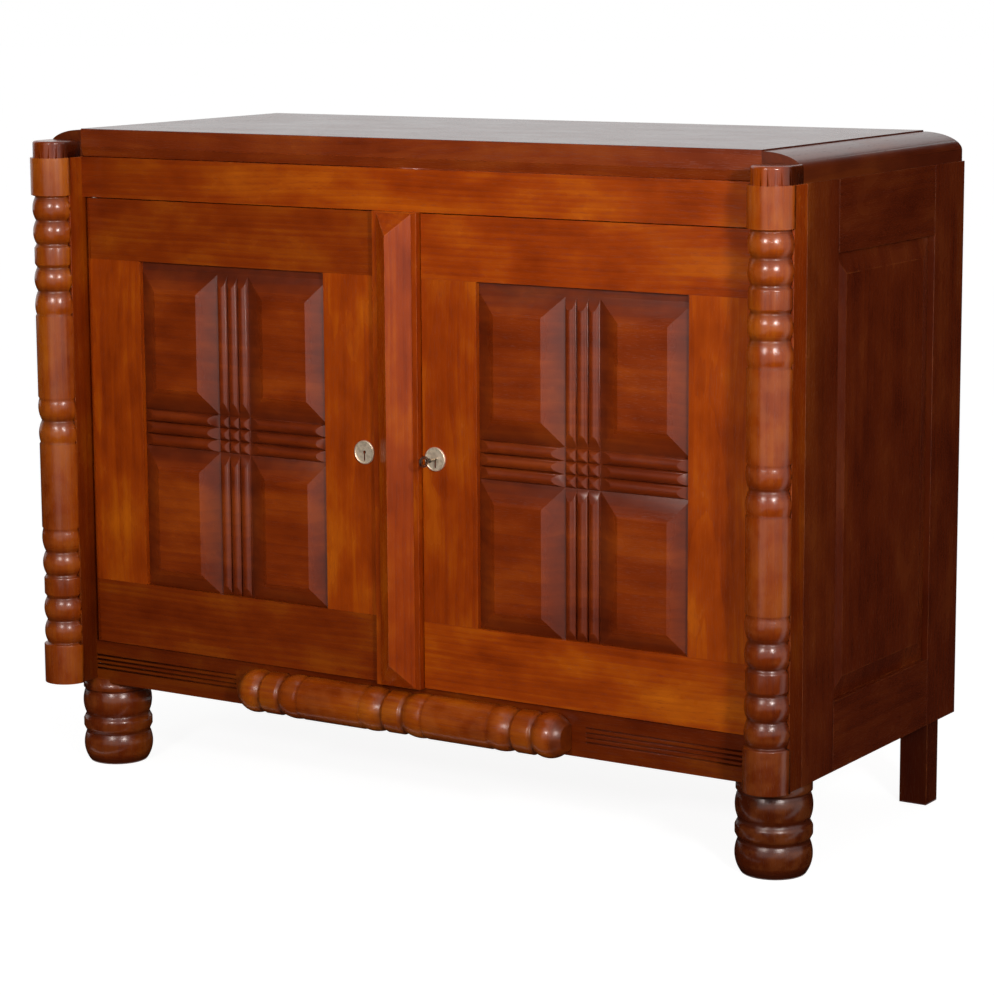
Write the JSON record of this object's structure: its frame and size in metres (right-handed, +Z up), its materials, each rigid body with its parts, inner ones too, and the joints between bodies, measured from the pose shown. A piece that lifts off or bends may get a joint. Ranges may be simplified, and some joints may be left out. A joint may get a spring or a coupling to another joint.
{
  "type": "buffet cabinet",
  "caption": "Low oak buffet cabinet with panelled doors, reeded crosses, split columns, a turned apron bobbin and turned front feet.",
  "frame": {"origin": "on the floor under the middle of the whole cabinet", "axes": "+X to the right of someone who faces the doors, +Y from the doors to the back, +Z up"},
  "size_m": [1.309, 0.5724, 1.0055],
  "materials": {
    "oak_frame": "polished",
    "oak_top": "polished",
    "oak_panel": "polished",
    "oak_turned": "polished",
    "oak_inner": "bare",
    "nickel": "polished",
    "steel": "satin"
  },
  "bodies": {
    "case": {"apron_bobbin": "oak_turned", "apron_rail": "oak_frame", "back_bottom_rail": "oak_inner", "back_muntin": "oak_inner", "back_panels": "oak_inner", "back_top_rail": "oak_inner", "bottom_board": "oak_inner", "centre_batten": "oak_frame", "centre_stile": "oak_frame", "centre_stop": "oak_frame", "column_left": "oak_turned", "column_right": "oak_turned", "corner_cap_left": "oak_top", "corner_cap_right": "oak_top", "foot_blocks": "oak_inner", "frieze_rail": "oak_frame", "front_foot_left": "oak_turned", "front_foot_right": "oak_turned", "front_post_left": "oak_frame", "front_post_right": "oak_frame", "hinge_sockets": "steel", "rear_leg_left": "oak_frame", "rear_leg_right": "oak_frame", "shelf": "oak_inner", "shelf_cleats": "oak_inner", "side_back_stile_left": "oak_frame", "side_back_stile_right": "oak_frame", "side_bottom_rail_left": "oak_frame", "side_bottom_rail_right": "oak_frame", "side_front_stile_left": "oak_frame", "side_front_stile_right": "oak_frame", "side_panel_left": "oak_panel", "side_panel_right": "oak_panel", "side_top_rail_left": "oak_frame", "side_top_rail_right": "oak_frame", "top_board": "oak_top", "top_cleats": "oak_inner", "top_moulding_left": "oak_top", "top_moulding_right": "oak_top"},
    "left_door": {"left_door_bottom_rail": "oak_frame", "left_door_top_rail": "oak_frame", "left_door_hinge_stile": "oak_frame", "left_door_lock_stile": "oak_frame", "left_door_panel": "oak_panel", "left_door_escutcheon": "nickel", "left_door_lock": "steel", "left_door_pivots": "steel"},
    "right_door": {"right_door_bottom_rail": "oak_frame", "right_door_top_rail": "oak_frame", "right_door_hinge_stile": "oak_frame", "right_door_lock_stile": "oak_frame", "right_door_panel": "oak_panel", "right_door_escutcheon": "nickel", "right_door_lock": "steel", "right_door_pivots": "steel"},
    "left_bolt": {"left_door_bolt": "steel"},
    "right_bolt": {"right_door_bolt": "steel"},
    "key": {"right_door_key": "steel"}
  },
  "joints": [
    {"name": "left_door_hinge", "type": "hinge", "parent": "case", "child": "left_door", "pos_m": [-0.5735, -0.20975, 0.548], "axis": [0, 0, -1], "range_deg": [0, 88]},
    {"name": "right_door_hinge", "type": "hinge", "parent": "case", "child": "right_door", "pos_m": [0.5735, -0.20975, 0.548], "axis": [0, 0, 1], "range_deg": [0, 88]},
    {"name": "left_bolt_slide", "type": "slide", "parent": "left_door", "child": "left_bolt", "axis": [1, 0, 0], "range_m": [0, 0.007]},
    {"name": "right_bolt_slide", "type": "slide", "parent": "right_door", "child": "right_bolt", "axis": [-1, 0, 0], "range_m": [0, 0.007]},
    {"name": "key_turn", "type": "hinge", "parent": "right_door", "child": "key", "pos_m": [0.0623, -0.22175, 0.5455], "axis": [0, -1, 0], "range_deg": [0, 360]}
  ],
  "couplings": [
    {"joint": "key_turn", "follows": "right_bolt_slide", "rad_per_m": 897.5}
  ]
}
